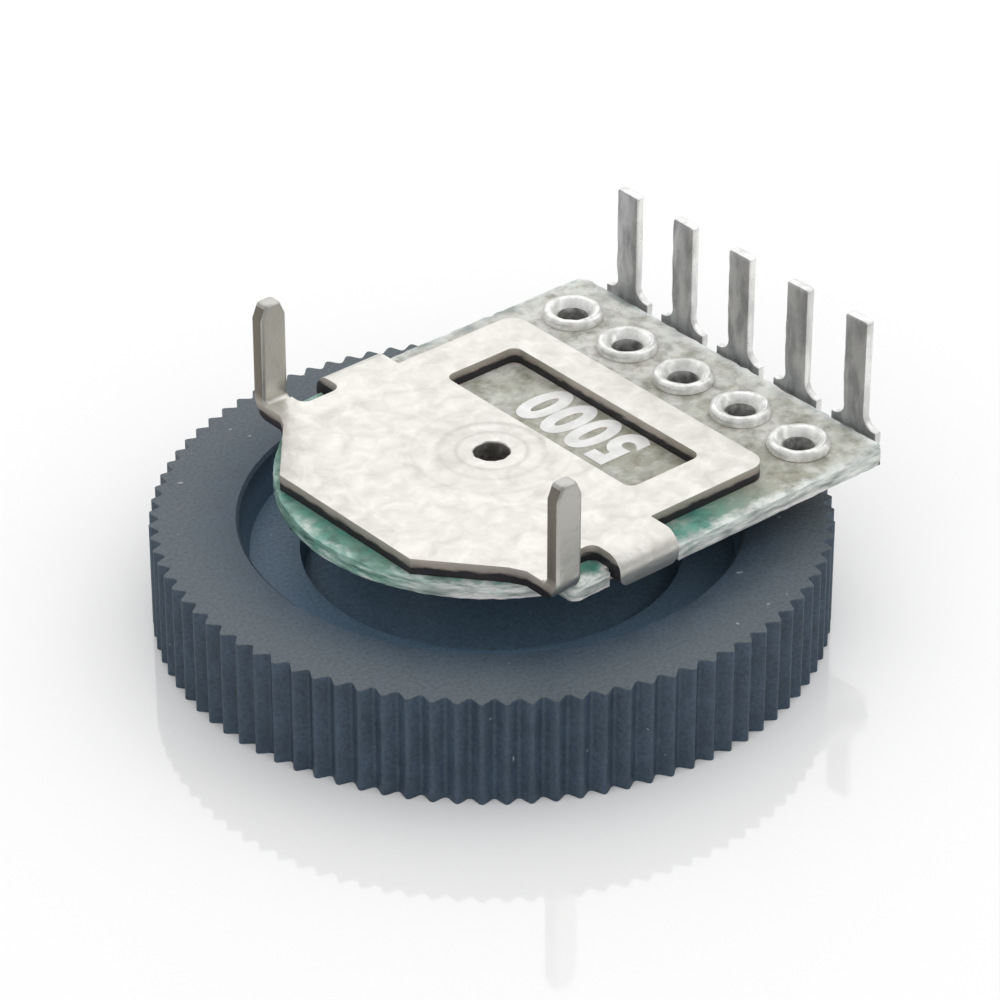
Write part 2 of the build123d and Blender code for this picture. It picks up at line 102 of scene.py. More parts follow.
# Injection-moulded PBT, slate blue: satin from the mould's fine spark erosion, greyer where fingers turn it;
# the rim's top is painted lighter as painted top light, and the pocket is painted lighter and bluer as
# painted light under the board
def mouldedPbt():
    values = {
        "body": [(0.35, "#364655"), (0.7, "#415263")], "cloud": 0.7, "specular": 0.42,
        "roughness": (0.39, 0.57), "handledAndPaintedTopLight": "#5D666B", "handledAndPaintedTopLightRadius": (5.6, 7.6),
        "handledAndPaintedTopLightLevel": (2.66, 2.695), "handledAndPaintedTopLightAmount": 0.72, "pocketPaintedLight": "#627C92",
        "pocketPaintedLightRadius": (5.9, 5.75), "pocketPaintedLightLevel": (0.4, 0.8), "dust": "#A9B0B4", "dustSize": 0.2,
        "dustPicked": (0.8, 0.84), "dusting": 0.7, "grain": 0.09, "grainHeight": 0.007,
        "eroded": [(0.3, "#D6D6D6"), (0.62, "#FFFFFF")],
    }
    material, tree, shader, place = startMaterial("mouldedPbt", {"Specular IOR Level": values["specular"]})
    cloud = addNode(
        tree, "ShaderNodeTexNoise", {"Scale": 1 / values["cloud"], "Detail": 4}, {"Vector": place}
    )
    body = addNode(tree, "ShaderNodeValToRGB", {"stops": values["body"]}, {0: cloud})
    axes = addNode(tree, "ShaderNodeSeparateXYZ", {}, {0: place})
    flat = addNode(tree, "ShaderNodeVectorMath", {"operation": "MULTIPLY", 1: (1, 1, 0)}, {0: place})
    radius = addNode(tree, "ShaderNodeVectorMath", {"operation": "LENGTH"}, {0: flat})
    outward = addNode(
        tree, "ShaderNodeMapRange", {"interpolation_type": "SMOOTHSTEP", "reads": values["handledAndPaintedTopLightRadius"]},
        {"Value": radius},
    )
    onTop = addNode(
        tree, "ShaderNodeMapRange", {"reads": values["handledAndPaintedTopLightLevel"], "gives": (0, values["handledAndPaintedTopLightAmount"])},
        {"Value": axes.outputs["Z"]},
    )
    # painted light: the pocket under the board is painted lighter and bluer, standing in for light that
    # reaches it
    inPocket = addNode(tree, "ShaderNodeMapRange", {"reads": values["pocketPaintedLightRadius"]}, {"Value": radius})
    aboveWeb = addNode(
        tree, "ShaderNodeMapRange", {"reads": values["pocketPaintedLightLevel"]}, {"Value": axes.outputs["Z"]}
    )
    pocketPaintedLight = addNode(tree, "ShaderNodeMath", {"operation": "MULTIPLY"}, {0: inPocket, 1: aboveWeb})
    withPocketPaintedLight = addNode(
        tree, "ShaderNodeMix", {"data_type": "RGBA", "B": linear(values["pocketPaintedLight"])},
        {"Factor": pocketPaintedLight, "A": body},
    )
    # wear on the rim's top, which is also painted lighter there as painted top light
    handledAndPaintedTopLight = addNode(tree, "ShaderNodeMath", {"operation": "MULTIPLY"}, {0: outward, 1: onTop})
    wornAndPaintedTopLight = addNode(
        tree, "ShaderNodeMix", {"data_type": "RGBA", "B": linear(values["handledAndPaintedTopLight"])},
        {"Factor": handledAndPaintedTopLight, "A": withPocketPaintedLight},
    )
    specks = addNode(
        tree, "ShaderNodeTexNoise", {"Scale": 1 / values["dustSize"], "Detail": 1, "Roughness": 0.3},
        {"Vector": place},
    )
    picked = addNode(
        tree, "ShaderNodeMapRange", {"reads": values["dustPicked"], "gives": (0, values["dusting"])},
        {"Value": specks},
    )
    grain = addNode(
        tree, "ShaderNodeTexNoise", {"Scale": 1 / values["grain"], "Detail": 3}, {"Vector": place}
    )
    eroded = addNode(tree, "ShaderNodeValToRGB", {"stops": values["eroded"]}, {0: grain})
    mottled = addNode(
        tree, "ShaderNodeMix", {"data_type": "RGBA", "blend_type": "MULTIPLY", "Factor": 1.0},
        {"A": wornAndPaintedTopLight, "B": eroded},
    )
    dusted = addNode(
        tree, "ShaderNodeMix", {"data_type": "RGBA", "B": linear(values["dust"])},
        {"Factor": picked, "A": mottled},
    )
    bump = addNode(tree, "ShaderNodeBump", {"Distance": values["grainHeight"] * mm}, {"Height": grain})
    sheen = addNode(tree, "ShaderNodeMapRange", {"gives": values["roughness"]}, {"Value": cloud})
    joinSockets(tree, shader, {"Base Color": dusted, "Normal": bump, "Roughness": sheen})
    return material


# Cold-rolled steel sheet with dull nickel plate: pale, crinkled, ringed by the staking with painted shade in
# the ring grooves, darker up the legs as a painted reflection of the dark wheel
def nickelPlate():
    values = {
        "body": [(0.3, "#D2D0C8"), (0.45, "#DCDAD3"), (0.66, "#E8E6E0")], "mottle": 0.55,
        "dullAndPaintedDark": "#A9A8A3", "dullAlong": (1.0, 4.6), "dulling": 0.04, "legLevel": (4.6, 5.0),
        "legPaintedReflection": 0.7, "patches": (0.35, 0.65), "patchDulling": (0.45, 1.0), "polished": (0.3, 0.7),
        "roughness": (0.42, 0.32), "crinkle": 0.36, "crinkleHeight": 0.009, "pit": 0.11,
        "pitHeight": 0.007, "ringReach": 5.0, "ringHeight": 0.05,
        "rings": [
            (0.15, "#FFFFFF"), (0.2, "#A8A8A8"), (0.235, "#C8C8C8"), (0.26, "#808080"), (0.4, "#7C7C7C"),
            (0.43, "#707070"), (0.46, "#7E7E7E"), (0.6, "#7E7E7E"), (0.62, "#747474"), (0.65, "#808080"),
        ],
        "ringDirtAndShade": [
            (0.15, "#000000"), (0.168, "#A0A0A0"), (0.186, "#404040"), (0.23, "#404040"),
            (0.252, "#8C8C8C"), (0.275, "#303030"), (0.36, "#303030"), (0.375, "#707070"),
            (0.395, "#202020"), (0.5, "#000000"),
        ],
    }
    material, tree, shader, place = startMaterial("nickelPlate", {"Metallic": 1.0})
    mottle = addNode(
        tree, "ShaderNodeTexNoise",
        {"Scale": 1 / values["mottle"], "Detail": 4, "Roughness": 0.55, "Distortion": 0.6},
        {"Vector": place},
    )
    body = addNode(tree, "ShaderNodeValToRGB", {"stops": values["body"]}, {0: mottle})
    axes = addNode(tree, "ShaderNodeSeparateXYZ", {}, {0: place})
    towardsPins = addNode(
        tree, "ShaderNodeMapRange", {"reads": values["dullAlong"], "gives": (0, values["dulling"])},
        {"Value": axes.outputs["X"]},
    )
    patches = addNode(
        tree, "ShaderNodeMapRange", {"reads": values["patches"], "gives": values["patchDulling"]},
        {"Value": mottle},
    )
    # painted reflection: the legs are darkened towards the dull colour, standing in for the dark wheel that
    # they reflect
    upLegsPaintedReflection = addNode(
        tree, "ShaderNodeMapRange", {"reads": values["legLevel"], "gives": (0, values["legPaintedReflection"])},
        {"Value": axes.outputs["Z"]},
    )
    dullingAndLegReflection = addNode(tree, "ShaderNodeMath", {"operation": "MAXIMUM"}, {0: towardsPins, 1: upLegsPaintedReflection})
    patchyDullingAndReflection = addNode(tree, "ShaderNodeMath", {"operation": "MULTIPLY"}, {0: dullingAndLegReflection, 1: patches})
    crinkle = addNode(
        tree, "ShaderNodeTexNoise",
        {"Scale": 1 / values["crinkle"], "Detail": 3, "Roughness": 0.55, "Distortion": 0.5},
        {"Vector": place},
    )
    pit = addNode(tree, "ShaderNodeTexNoise", {"Scale": 1 / values["pit"], "Detail": 2}, {"Vector": place})
    flat = addNode(tree, "ShaderNodeVectorMath", {"operation": "MULTIPLY", 1: (1, 1, 0)}, {0: place})
    far = addNode(tree, "ShaderNodeVectorMath", {"operation": "LENGTH"}, {0: flat})
    along = addNode(tree, "ShaderNodeMath", {"operation": "DIVIDE", 1: values["ringReach"]}, {0: far})
    rings = addNode(tree, "ShaderNodeValToRGB", {"stops": values["rings"]}, {0: along})
    # the stake rings' grooves are darkened: dirt, and painted shade that the rings' bump alone doesn't give
    ringDirtAndShade = addNode(tree, "ShaderNodeValToRGB", {"stops": values["ringDirtAndShade"]}, {0: along})
    dirtShadeAndReflection = addNode(tree, "ShaderNodeMath", {"operation": "MAXIMUM"}, {0: patchyDullingAndReflection, 1: ringDirtAndShade})
    colour = addNode(
        tree, "ShaderNodeMix", {"data_type": "RGBA", "B": linear(values["dullAndPaintedDark"])},
        {"Factor": dirtShadeAndReflection, "A": body},
    )
    coarse = addNode(tree, "ShaderNodeBump", {"Distance": values["crinkleHeight"] * mm}, {"Height": crinkle})
    fine = addNode(
        tree, "ShaderNodeBump", {"Distance": values["pitHeight"] * mm}, {"Height": pit, "Normal": coarse}
    )
    struck = addNode(
        tree, "ShaderNodeBump", {"Distance": values["ringHeight"] * mm}, {"Height": rings, "Normal": fine}
    )
    polish = addNode(
        tree, "ShaderNodeMapRange", {"reads": values["polished"], "gives": values["roughness"]},
        {"Value": mottle},
    )
    joinSockets(tree, shader, {"Base Color": colour, "Normal": struck, "Roughness": polish})
    return material


# Sheared edge of the sheet: a burnished band under the top, and dark torn steel below it, darkest at the foot
# as painted shadow from the gap to the board
def shearedSteel(low, high):
    values = {
        # the dark low stops are torn steel and painted shadow from the gap under the plate
        "body": [
            (0.0, "#353336"), (0.27, "#353336"), (0.38, "#A99F97"), (0.6, "#BBB4AA"), (1.0, "#7F796F"),
        ],
        "metallic": 0.55, "roughness": 0.5, "line": (2.2, 2.2, 9.0), "wander": (-0.22, 0.22),
        "lineHeight": 0.008, "reach": 1.6,  # the colours run up past the plate by this share of its thickness
    }
    material, tree, shader, place = startMaterial(
        "shearedSteel", {"Metallic": values["metallic"], "Roughness": values["roughness"]}
    )
    stretched = addNode(tree, "ShaderNodeMapping", {"Scale": values["line"]}, {"Vector": place})
    lines = addNode(tree, "ShaderNodeTexNoise", {"Scale": 1.0, "Detail": 4}, {"Vector": stretched})
    axes = addNode(tree, "ShaderNodeSeparateXYZ", {}, {0: place})
    rise = addNode(
        tree, "ShaderNodeMapRange", {"clamp": False, "reads": (low, high)}, {"Value": axes.outputs["Z"]}
    )
    wander = addNode(tree, "ShaderNodeMapRange", {"gives": values["wander"]}, {"Value": lines})
    level = addNode(tree, "ShaderNodeMath", {"operation": "ADD"}, {0: rise, 1: wander})
    spread = addNode(tree, "ShaderNodeMath", {"operation": "DIVIDE", 1: values["reach"]}, {0: level})
    body = addNode(tree, "ShaderNodeValToRGB", {"stops": values["body"]}, {0: spread})
    bump = addNode(tree, "ShaderNodeBump", {"Distance": values["lineHeight"] * mm}, {"Height": lines})
    joinSockets(tree, shader, {"Base Color": body, "Normal": bump})
    return material


# Pressed glass-epoxy board: olive-grey with flux stains, teal as painted shade beside and under the bracket,
# tinted like light through the laminate, frosted at the punched rim
def glassEpoxy():
    values = {
        "surface": {
            "Roughness": 0.4, "Subsurface Weight": 0.35, "Subsurface Scale": 0.4 * mm,
            "Subsurface Radius": (0.4, 1.0, 0.8),
        },
        "body": [(0.38, "#ABAC9E"), (0.74, "#DBDCD5")], "cloud": 0.9, "paleAlong": (3.4, 6.8),
        "paleness": (-0.1, 0.2), "row": (-5.0, 5.2), "rowPaleness": (-0.14, 0.22),
        "stain": "#6F6C58", "stainSize": 0.5, "stained": (0.42, 0.7), "staining": 0.85,
        "shadeTeal": [(0.36, "#386B60"), (0.6, "#569B8B")], "nose": (0.4, -1.2), "besidePlate": (-4.2, -4.45),
        "behindWing": (4.4, 2.2), "shadeVaried": (0.3, 0.6), "shadeVariation": (1.0, 0.7),
        "frost": [(0.34, "#7F8786"), (0.6, "#E3E5E2")],
        "greenFrost": [(0.34, "#43655B"), (0.54, "#8CB0A4"), (0.7, "#E3E5E2")], "greenRim": (-3.2, -1.8),
        "fibreSize": (1.3, 1.3, 8.5), "fibreHeight": 0.02, "tear": 0.45, "torn": (0.3, 0.7),
        "tearing": (-0.5, 0.5), "frayed": (0.1, 0.85), "fraying": 0.9, "weave": 0.16, "weaveHeight": 0.005,
    }
    material, tree, shader, place = startMaterial("glassEpoxy", values["surface"])
    cloud = addNode(
        tree, "ShaderNodeTexNoise", {"Scale": 1 / values["cloud"], "Detail": 5, "Roughness": 0.6},
        {"Vector": place},
    )
    axes = addNode(tree, "ShaderNodeSeparateXYZ", {}, {0: place})
    towardsPins = addNode(
        tree, "ShaderNodeMapRange", {"reads": values["paleAlong"], "gives": values["paleness"]},
        {"Value": axes.outputs["X"]},
    )
    alongRow = addNode(
        tree, "ShaderNodeMapRange", {"reads": values["row"], "gives": values["rowPaleness"]},
        {"Value": axes.outputs["Y"]},
    )
    shift = addNode(tree, "ShaderNodeMath", {"operation": "ADD"}, {0: towardsPins, 1: alongRow})
    shifted = addNode(tree, "ShaderNodeMath", {"operation": "ADD"}, {0: cloud, 1: shift})
    body = addNode(tree, "ShaderNodeValToRGB", {"stops": values["body"]}, {0: shifted})
    stains = addNode(
        tree, "ShaderNodeTexNoise",
        {"Scale": 1 / values["stainSize"], "Detail": 6, "Roughness": 0.66, "Distortion": 0.25},
        {"Vector": place},
    )
    stained = addNode(
        tree, "ShaderNodeMapRange", {"reads": values["stained"], "gives": (0, values["staining"])},
        {"Value": stains},
    )
    dirty = addNode(
        tree, "ShaderNodeMix", {"data_type": "RGBA", "B": linear(values["stain"])},
        {"Factor": stained, "A": body},
    )
    # painted shade: the nose and the strip beside the wing, which the bracket shades, are painted teal
    nose = addNode(tree, "ShaderNodeMapRange", {"reads": values["nose"]}, {"Value": axes.outputs["X"]})
    besidePlate = addNode(
        tree, "ShaderNodeMapRange", {"reads": values["besidePlate"]}, {"Value": axes.outputs["Y"]}
    )
    behindWing = addNode(
        tree, "ShaderNodeMapRange", {"reads": values["behindWing"]}, {"Value": axes.outputs["X"]}
    )
    strip = addNode(tree, "ShaderNodeMath", {"operation": "MULTIPLY"}, {0: besidePlate, 1: behindWing})
    shadeZone = addNode(tree, "ShaderNodeMath", {"operation": "MAXIMUM"}, {0: nose, 1: strip})
    shadeVariation = addNode(
        tree, "ShaderNodeMapRange", {"reads": values["shadeVaried"], "gives": values["shadeVariation"]},
        {"Value": cloud},
    )
    paintedShade = addNode(tree, "ShaderNodeMath", {"operation": "MULTIPLY"}, {0: shadeZone, 1: shadeVariation})
    shadeTeal = addNode(tree, "ShaderNodeValToRGB", {"stops": values["shadeTeal"]}, {0: stains})
    tinted = addNode(
        tree, "ShaderNodeMix", {"data_type": "RGBA"}, {"Factor": paintedShade, "A": dirty, "B": shadeTeal}
    )
    rim = addNode(tree, "ShaderNodeAttribute", {"attribute_name": "rim"})
    stretched = addNode(tree, "ShaderNodeMapping", {"Scale": values["fibreSize"]}, {"Vector": place})
    fibres = addNode(
        tree, "ShaderNodeTexNoise", {"Scale": 1.0, "Detail": 4, "Roughness": 0.6}, {"Vector": stretched}
    )
    tears = addNode(
        tree, "ShaderNodeTexNoise", {"Scale": 1 / values["tear"], "Detail": 5, "Roughness": 0.65},
        {"Vector": place},
    )
    torn = addNode(
        tree, "ShaderNodeMapRange", {"reads": values["torn"], "gives": values["tearing"]}, {"Value": tears}
    )
    reach = addNode(tree, "ShaderNodeMath", {"operation": "ADD"}, {0: rim.outputs["Fac"], 1: torn})
    frayed = addNode(
        tree, "ShaderNodeMapRange", {"reads": values["frayed"], "gives": (0, values["fraying"])},
        {"Value": reach},
    )
    frost = addNode(tree, "ShaderNodeValToRGB", {"stops": values["frost"]}, {0: fibres})
    greenFrost = addNode(tree, "ShaderNodeValToRGB", {"stops": values["greenFrost"]}, {0: fibres})
    stillGreen = addNode(
        tree, "ShaderNodeMapRange", {"reads": values["greenRim"]}, {"Value": axes.outputs["Y"]}
    )
    greenRim = addNode(tree, "ShaderNodeMath", {"operation": "MULTIPLY"}, {0: nose, 1: stillGreen})
    rimColour = addNode(
        tree, "ShaderNodeMix", {"data_type": "RGBA"}, {"Factor": greenRim, "A": frost, "B": greenFrost}
    )
    edged = addNode(
        tree, "ShaderNodeMix", {"data_type": "RGBA"}, {"Factor": frayed, "A": tinted, "B": rimColour}
    )
    weave = addNode(
        tree, "ShaderNodeTexNoise", {"Scale": 1 / values["weave"], "Detail": 4}, {"Vector": place}
    )
    lumps = addNode(tree, "ShaderNodeBump", {"Distance": values["weaveHeight"] * mm}, {"Height": weave})
    roughRim = addNode(tree, "ShaderNodeMath", {"operation": "MULTIPLY"}, {0: frayed, 1: fibres})
    bump = addNode(
        tree, "ShaderNodeBump", {"Distance": values["fibreHeight"] * mm},
        {"Height": roughRim, "Normal": lumps},
    )
    joinSockets(tree, shader, {"Base Color": edged, "Normal": bump})
    return material


# Hot-dipped tin on brass: bright and a little lumpy, streaked where it drained, dull where the flux lay
tinFinishes = {
    "eyeletTin": {
        "body": [(0.4, "#DCDCD8"), (0.58, "#F8F8F6")], "metallic": 0.6, "roughness": (0.4, 0.25),
        "lumpHeight": 0.012, "streak": 1.0,
    },
    "pinFrontTin": {
        "body": [(0.4, "#A2A2A4"), (0.58, "#C4C4C4")], "metallic": 0.75, "roughness": (0.52, 0.37),
        "lumpHeight": 0.007, "streak": 0.3,
    },
    # the pins' sides and tips take a lighter copy of the pins' tin: painted highlight
    "pinSideTinPaintedHighlight": {
        "body": [(0.4, "#DCDCDA"), (0.58, "#F7F7F5")], "metallic": 0.7, "roughness": (0.36, 0.21),
        "lumpHeight": 0.006, "streak": 0.3,
    },
}


def dippedTin(name):
    values = {"lump": 0.3, "patch": 0.3, "patches": (0.35, 0.65), **tinFinishes[name]}
    material, tree, shader, place = startMaterial(name, {"Metallic": values["metallic"]})
    drained = addNode(tree, "ShaderNodeMapping", {"Scale": (1, 1, values["streak"])}, {"Vector": place})
    patch = addNode(
        tree, "ShaderNodeTexNoise", {"Scale": 1 / values["patch"], "Detail": 4, "Roughness": 0.55},
        {"Vector": drained},
    )
    body = addNode(tree, "ShaderNodeValToRGB", {"stops": values["body"]}, {0: patch})
    lumps = addNode(
        tree, "ShaderNodeTexNoise", {"Scale": 1 / values["lump"], "Detail": 1}, {"Vector": drained}
    )
    bump = addNode(tree, "ShaderNodeBump", {"Distance": values["lumpHeight"] * mm}, {"Height": lumps})
    polish = addNode(
        tree, "ShaderNodeMapRange", {"reads": values["patches"], "gives": values["roughness"]},
        {"Value": patch},
    )
    joinSockets(tree, shader, {"Base Color": body, "Normal": bump, "Roughness": polish})
    return material


# Inside of a drawn tube: unpolished, grey with oxide and flux, so it takes light where bare metal looks black
boreFinishes = {
    "rivetBore": [(0.35, "#4A4843"), (0.65, "#7D7A74")],
    "eyeletBore": [(0.35, "#6F6F6C"), (0.65, "#A9A9A6")],
}


def oxidisedBore(name):
    values = {"patch": 0.2, "metallic": 0.35, "roughness": 0.6}
    material, tree, shader, place = startMaterial(
        name, {"Metallic": values["metallic"], "Roughness": values["roughness"]}
    )
    patch = addNode(
        tree, "ShaderNodeTexNoise", {"Scale": 1 / values["patch"], "Detail": 4}, {"Vector": place}
    )
    body = addNode(tree, "ShaderNodeValToRGB", {"stops": boreFinishes[name]}, {0: patch})
    joinSockets(tree, shader, {"Base Color": body})
    return material


# Rolled nickel-silver strip: fine rolling lines along its length
def springStrip():
    values = {
        "body": [(0.3, "#8D8570"), (0.7, "#C2B897")], "roughness": 0.28, "turn": -10,
        "line": (0.4, 9.0, 1.0), "lineHeight": 0.002,
    }
    material, tree, shader, place = startMaterial(
        "springStrip", {"Metallic": 1.0, "Roughness": values["roughness"]}
    )
    turned = addNode(
        tree, "ShaderNodeMapping",
        {"Rotation": (0, 0, math.radians(values["turn"])), "Scale": values["line"]}, {"Vector": place},
    )
    lines = addNode(tree, "ShaderNodeTexNoise", {"Scale": 1.0, "Detail": 3}, {"Vector": turned})
    body = addNode(tree, "ShaderNodeValToRGB", {"stops": values["body"]}, {0: lines})
    bump = addNode(tree, "ShaderNodeBump", {"Distance": values["lineHeight"] * mm}, {"Height": lines})
    joinSockets(tree, shader, {"Base Color": body, "Normal": bump})
    return material


# Screen-printed pastes: carbon is black and dry, silver is grey and fine-grained, marking ink is chalky
inkFinishes = {
    "carbonInk": {"body": [(0.3, "#141414"), (0.65, "#26262A")], "metallic": 0.0, "roughness": 0.6},
    "silverInk": {"body": [(0.3, "#8F8E88"), (0.65, "#B5B3AB")], "metallic": 0.7, "roughness": 0.45},
    "markingInk": {"body": [(0.3, "#DCDCDA"), (0.65, "#F4F4F2")], "metallic": 0.0, "roughness": 0.55},
}


def printedInk(name):
    values = {"grain": 0.05, "cloud": 0.5, "grainHeight": 0.003, **inkFinishes[name]}
    material, tree, shader, place = startMaterial(
        name, {"Metallic": values["metallic"], "Roughness": values["roughness"]}
    )
    cloud = addNode(
        tree, "ShaderNodeTexNoise", {"Scale": 1 / values["cloud"], "Detail": 6}, {"Vector": place}
    )
    body = addNode(tree, "ShaderNodeValToRGB", {"stops": values["body"]}, {0: cloud})
    grain = addNode(
        tree, "ShaderNodeTexNoise", {"Scale": 1 / values["grain"], "Detail": 2}, {"Vector": place}
    )
    bump = addNode(tree, "ShaderNodeBump", {"Distance": values["grainHeight"] * mm}, {"Height": grain})
    joinSockets(tree, shader, {"Base Color": body, "Normal": bump})
    return material


# Lengths in millimetres and turns in degrees
meshValues = {
    "merge": 0.0005, "empty": 0.0001, "flatTurn": 0.6, "creaseTurn": 38, "same": 0.001, "near": 0.01,
}


def cadCopy(nodeName):  # a bmesh of the node in millimetres, merged, with its flat faces whole
    bm = bmesh.new()
    bm.from_mesh(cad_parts[nodeName].data)
    bmesh.ops.scale(bm, vec=(1 / mm,) * 3, verts=bm.verts)
    bmesh.ops.remove_doubles(bm, verts=bm.verts, dist=meshValues["merge"])
    flat = math.radians(meshValues["flatTurn"])
    bmesh.ops.dissolve_limit(bm, angle_limit=flat, verts=bm.verts, edges=bm.edges)
    for face in bm.faces:
        face.material_index = 0
    return bm


def raggedAt(point):  # noise between 0 and 1
    return 0.5 + 0.5 * noise.noise(point)


def sharper(edge, turn):  # whether the faces beside an edge turn by more than this many degrees
    return edge.is_manifold and edge.calc_face_angle(0) > math.radians(turn)


def bevelEdges(bm, edges, radius, segments, clamp=True):
    bmesh.ops.bevel(
        bm, geom=edges, offset=radius, offset_type="OFFSET", segments=segments, profile=0.5,
        affect="EDGES", clamp_overlap=clamp, material=-1,
    )


def dropEmptyFaces(bm):  # a bevel that has no room leaves faces without area
    bmesh.ops.dissolve_degenerate(bm, dist=meshValues["empty"], edges=bm.edges)
    bm.normal_update()


def softenEdges(bm, radius, segments, sharpest, inside=0):  # edges nearer to the axis than inside stay sharp
    edges = [e for e in bm.edges if sharper(e, sharpest) and e.verts[0].co.xy.length >= inside]
    bevelEdges(bm, edges, radius, segments)


def finishPiece(name, bm, materials, body, nodes=(), creases=()):  # in metres, shaded, on its body
    bmesh.ops.scale(bm, vec=(mm,) * 3, verts=bm.verts)
    for face in bm.faces:
        face.smooth = True
    crease = math.radians(meshValues["creaseTurn"])
    for edge in bm.edges:
        edge.smooth = edge not in creases and (not edge.is_manifold or edge.calc_face_angle(0) < crease)
    mesh = bpy.data.meshes.new(name)
    bm.to_mesh(mesh)
    bm.free()
    for material in materials:
        mesh.materials.append(material)
    piece = bpy.data.objects.new(name, mesh)
    scene.collection.objects.link(piece)
    normals = piece.modifiers.new("evenShading", "WEIGHTED_NORMAL")
    normals.keep_sharp = True
    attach(piece, body)
    if nodes:
        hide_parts(*nodes)
    print("made", name, "with", len(mesh.polygons), "faces")
    return piece


# Wheel
wheelValues = {
    "rim": 0.45, "breakTilt": (0.3, 0.9), "crestShare": 1 / 3, "toothTurn": 17, "rootRadius": 0.09,
    "rootSegments": 3, "crestRadius": 0.05, "crestSegments": 2, "sharpest": 24,
}


def squareTeeth(bm, radius):  # each tooth's edge break joins its flanks, so that it is full to both faces
    low, high = wheelValues["breakTilt"]
    inner = radius - wheelValues["rim"]
    breaks = [
        f for f in bm.faces if low < abs(f.normal.z) < high and f.calc_center_median().xy.length > inner
    ]
    for face in breaks:
        crests = [v for v in face.verts if v.co.xy.length > radius - meshValues["same"]]
        arc = next(e for e in face.edges if not set(crests) & set(e.verts))
        first, second = arc.verts
        near = bmesh.utils.edge_split(arc, first, wheelValues["crestShare"])[1]
        rest = next(e for e in near.link_edges if second in e.verts)
        far = bmesh.utils.edge_split(rest, second, wheelValues["crestShare"])[1]
        for corner in (near, far):
            crest = min(crests, key=lambda v: (v.co.xy - corner.co.xy).length)
            corner.co.xy = crest.co.xy
            bmesh.ops.connect_verts(bm, verts=[corner, crest])


def isUpright(edge):
    return (edge.verts[0].co - edge.verts[1].co).xy.length < meshValues["same"]


def toothEdges(bm, inner):  # the teeth's upright edges beyond a radius
    return [
        e for e in bm.edges
        if isUpright(e) and e.verts[0].co.xy.length > inner and sharper(e, wheelValues["toothTurn"])
    ]


def makeWheel():
    bm = cadCopy("thumbwheel")
    bm.normal_update()
    radius = max(v.co.xy.length for v in bm.verts)
    rim = radius - wheelValues["rim"]
    crest = radius - meshValues["near"]
    squareTeeth(bm, radius)
    bm.normal_update()
    roots = [e for e in toothEdges(bm, rim) if e.verts[0].co.xy.length <= crest]
    bevelEdges(bm, roots, wheelValues["rootRadius"], wheelValues["rootSegments"])
    bevelEdges(bm, toothEdges(bm, crest), wheelValues["crestRadius"], wheelValues["crestSegments"])
    dropEmptyFaces(bm)
    creases = {
        e for e in bm.edges
        if sharper(e, wheelValues["sharpest"]) and (not isUpright(e) or e.verts[0].co.xy.length < rim)
    }
    finishPiece("wheelMoulding", bm, [mouldedPbt()], "wheel", ["thumbwheel"], creases)


# Bracket
bracketValues = {
    "rollRadius": 0.1, "legRadius": 0.1, "edgeRadius": 0.035, "segments": 3, "sharpest": 35,
    "bendLine": 5.0, "legLine": 4.8, "legEnd": -1.95, "legFoot": 0.3, "holeReach": 1.0, "faceLimit": 0.5,
    "rivetHole": 1.2,
}


def makeBracket(plate):
    bm = cadCopy("mounting_bracket")
    bm.normal_update()
    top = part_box("pivot_rivet")[1].z / mm
    sharpest = bracketValues["sharpest"]
    segments = bracketValues["segments"]
    legs = [
        e for e in bm.edges
        if sharper(e, sharpest) and min(v.co.z for v in e.verts) > top - bracketValues["legFoot"]
        and all(abs(v.co.y) > bracketValues["legLine"] for v in e.verts)
        and all(v.co.x < bracketValues["legEnd"] for v in e.verts)
    ]
    bevelEdges(bm, legs, bracketValues["legRadius"], segments, clamp=False)
    rolled = [
        e for e in bm.edges
        if sharper(e, sharpest) and e.verts[0].co.xy.length > bracketValues["holeReach"]
        and all(abs(v.co.z - top) < meshValues["near"] for v in e.verts)
    ]
    bevelEdges(bm, rolled, bracketValues["rollRadius"], segments)
    softenEdges(bm, bracketValues["edgeRadius"], segments, sharpest, bracketValues["rivetHole"])
    dropEmptyFaces(bm)
    for face in bm.faces:
        beyondBend = abs(face.calc_center_median().y) > bracketValues["bendLine"]
        level = abs(face.normal.z) > bracketValues["faceLimit"]
        bent = abs(face.normal.y) > bracketValues["faceLimit"] and beyondBend
        face.material_index = 0 if level or bent else 1
    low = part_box("resistor_board")[1].z / mm
    materials = [plate, shearedSteel(low, top)]
    finishPiece("bracketPressing", bm, materials, "frame", ["mounting_bracket"])


# Board
boardValues = {
    "cell": 0.2, "rows": 3, "outlineTurn": 57, "rimWidth": 0.38, "holeReach": 0.9, "wall": 0.1,
    "cutWall": 0.05, "fray": 0.06, "fraySize": 0.16, "layers": 2.5, "sag": 0.05, "sideLimit": 0.5,
    "leastSide": 0.1,
}


def cutGrid(bm, axis, step):  # cuts across one axis at a regular step
    low = min(v.co[axis] for v in bm.verts)
    high = max(v.co[axis] for v in bm.verts)
    count = max(1, round((high - low) / step))
    normal = Vector([float(i == axis) for i in range(3)])
    for number in range(1, count):
        point = normal * (low + (high - low) * number / count)
        geometry = bm.verts[:] + bm.edges[:] + bm.faces[:]
        bmesh.ops.bisect_plane(bm, geom=geometry, dist=meshValues["same"], plane_co=point, plane_no=normal)


